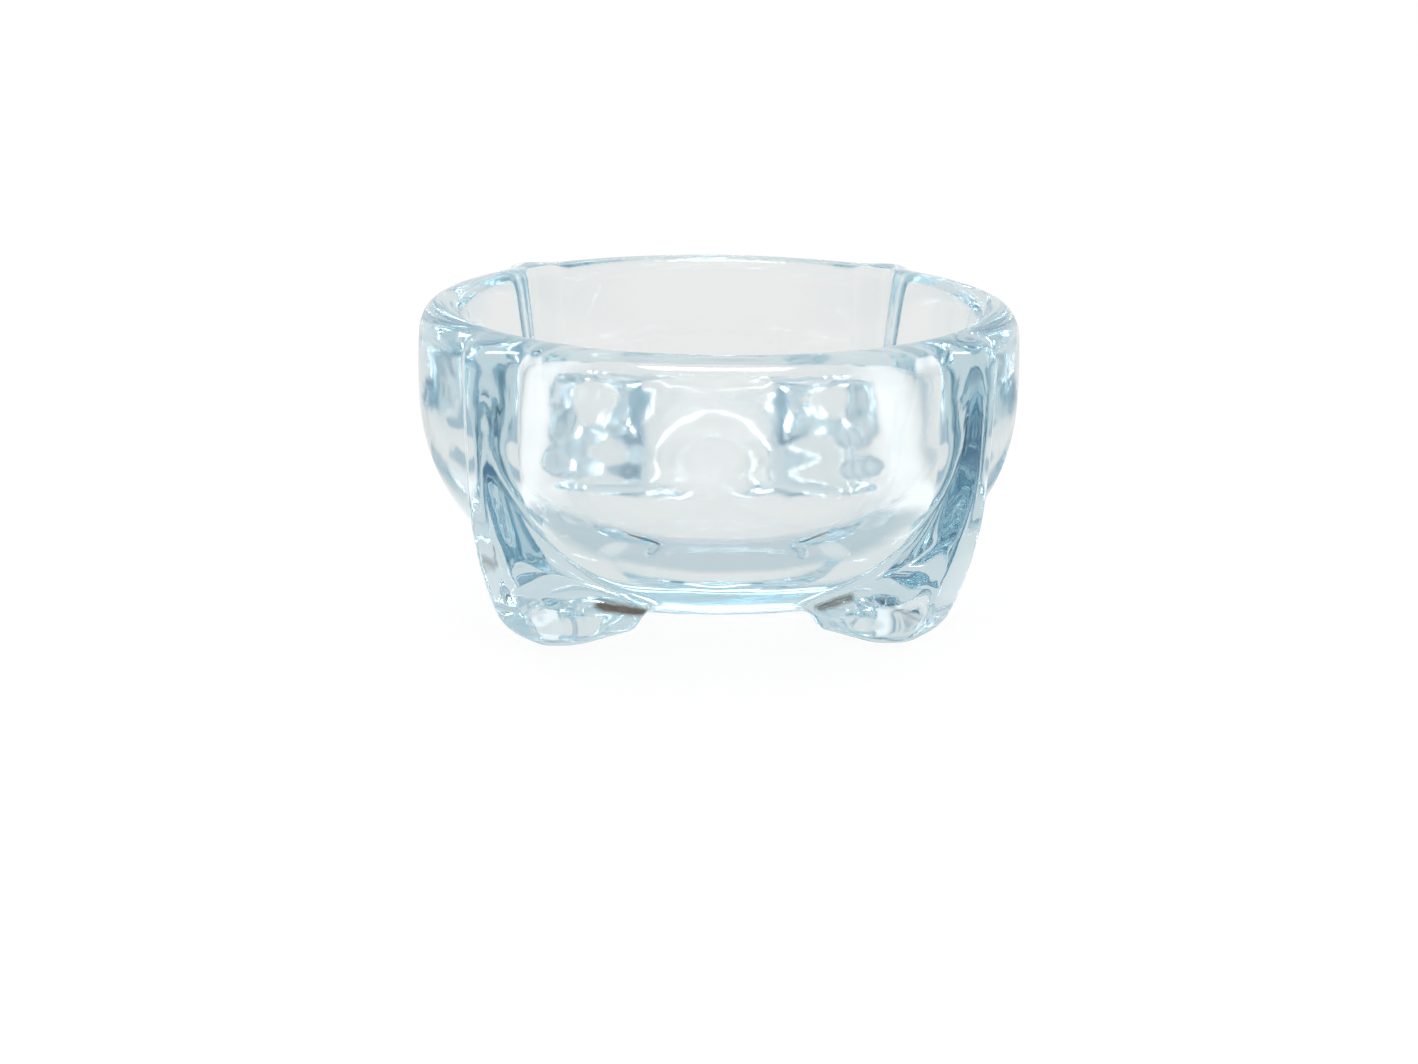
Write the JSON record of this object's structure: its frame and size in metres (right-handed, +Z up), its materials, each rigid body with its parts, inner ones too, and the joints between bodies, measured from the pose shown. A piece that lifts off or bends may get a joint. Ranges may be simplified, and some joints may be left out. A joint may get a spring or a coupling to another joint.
{
  "type": "salt cellar",
  "caption": "Open pressed-glass salt cellar: a round bowl swelling out between corner pillars that run down into feet, clear glass with a faint blue tint.",
  "frame": {"origin": "middle of the base on the plane that the feet stand on", "axes": "+Z up through the open mouth, +X and +Y square out through the round panels of the bowl, between the pillars"},
  "size_m": [0.07, 0.07, 0.0349],
  "materials": {
    "clear_glass": "fire-polished pressed glass, clear with a faint ice-blue tint, old soil in the hollows of the feet"
  },
  "bodies": {
    "root": {"glass_body": "clear_glass"}
  },
  "joints": []
}
